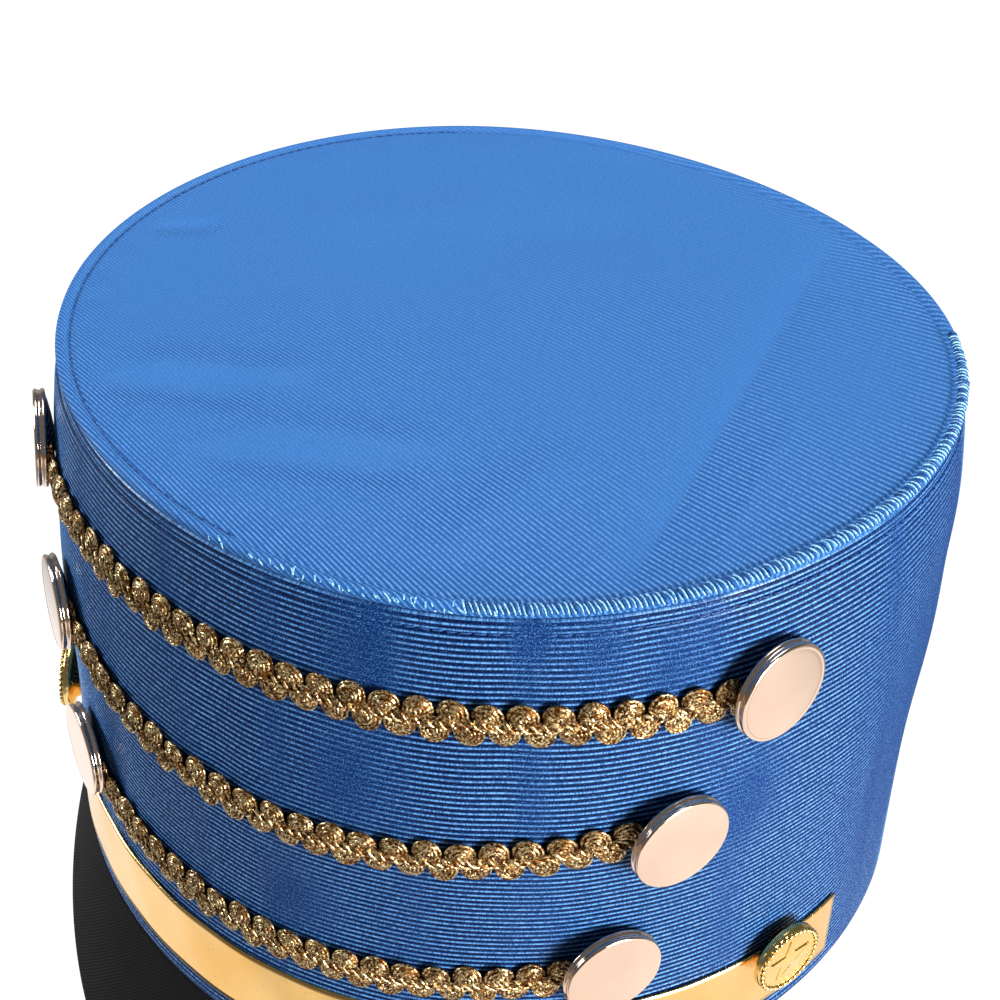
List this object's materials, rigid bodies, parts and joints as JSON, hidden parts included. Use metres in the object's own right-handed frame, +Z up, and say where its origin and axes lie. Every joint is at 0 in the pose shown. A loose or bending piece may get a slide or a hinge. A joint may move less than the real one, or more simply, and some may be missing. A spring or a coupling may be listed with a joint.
{
  "type": "marching band hat",
  "caption": "Tall oval marching band hat of ribbed blue cloth with a black visor, a gold band, gold braids between flat rose-gold buttons and a star button at each side.",
  "frame": {"origin": "on the floor under the middle of the hat's box, with the hat standing on its back rim and its visor", "axes": "+Z up, the hat's front with the visor towards -Y, the wearer's left towards +X"},
  "size_m": [0.1948, 0.2224, 0.1614],
  "materials": {
    "side_cloth": "shiny ribbed cloth",
    "top_cloth": "soft ribbed cloth",
    "visor_cloth": "matt black twill",
    "gold_foil": "gold foil",
    "gold_braid": "metallic thread",
    "rose_gold": "polished rose gold plate",
    "yellow_gold": "polished yellow gold plate"
  },
  "bodies": {
    "root": {"crown_side": "side_cloth", "crown_top": "top_cloth", "visor": "visor_cloth", "gold_band": "gold_foil", "braid_upper": "gold_braid", "braid_middle": "gold_braid", "braid_lower": "gold_braid", "button_left_1": "rose_gold", "button_left_2": "rose_gold", "button_left_3": "rose_gold", "button_right_1": "rose_gold", "button_right_2": "rose_gold", "button_right_3": "rose_gold", "star_button_left": "yellow_gold", "star_button_right": "yellow_gold"}
  },
  "joints": []
}
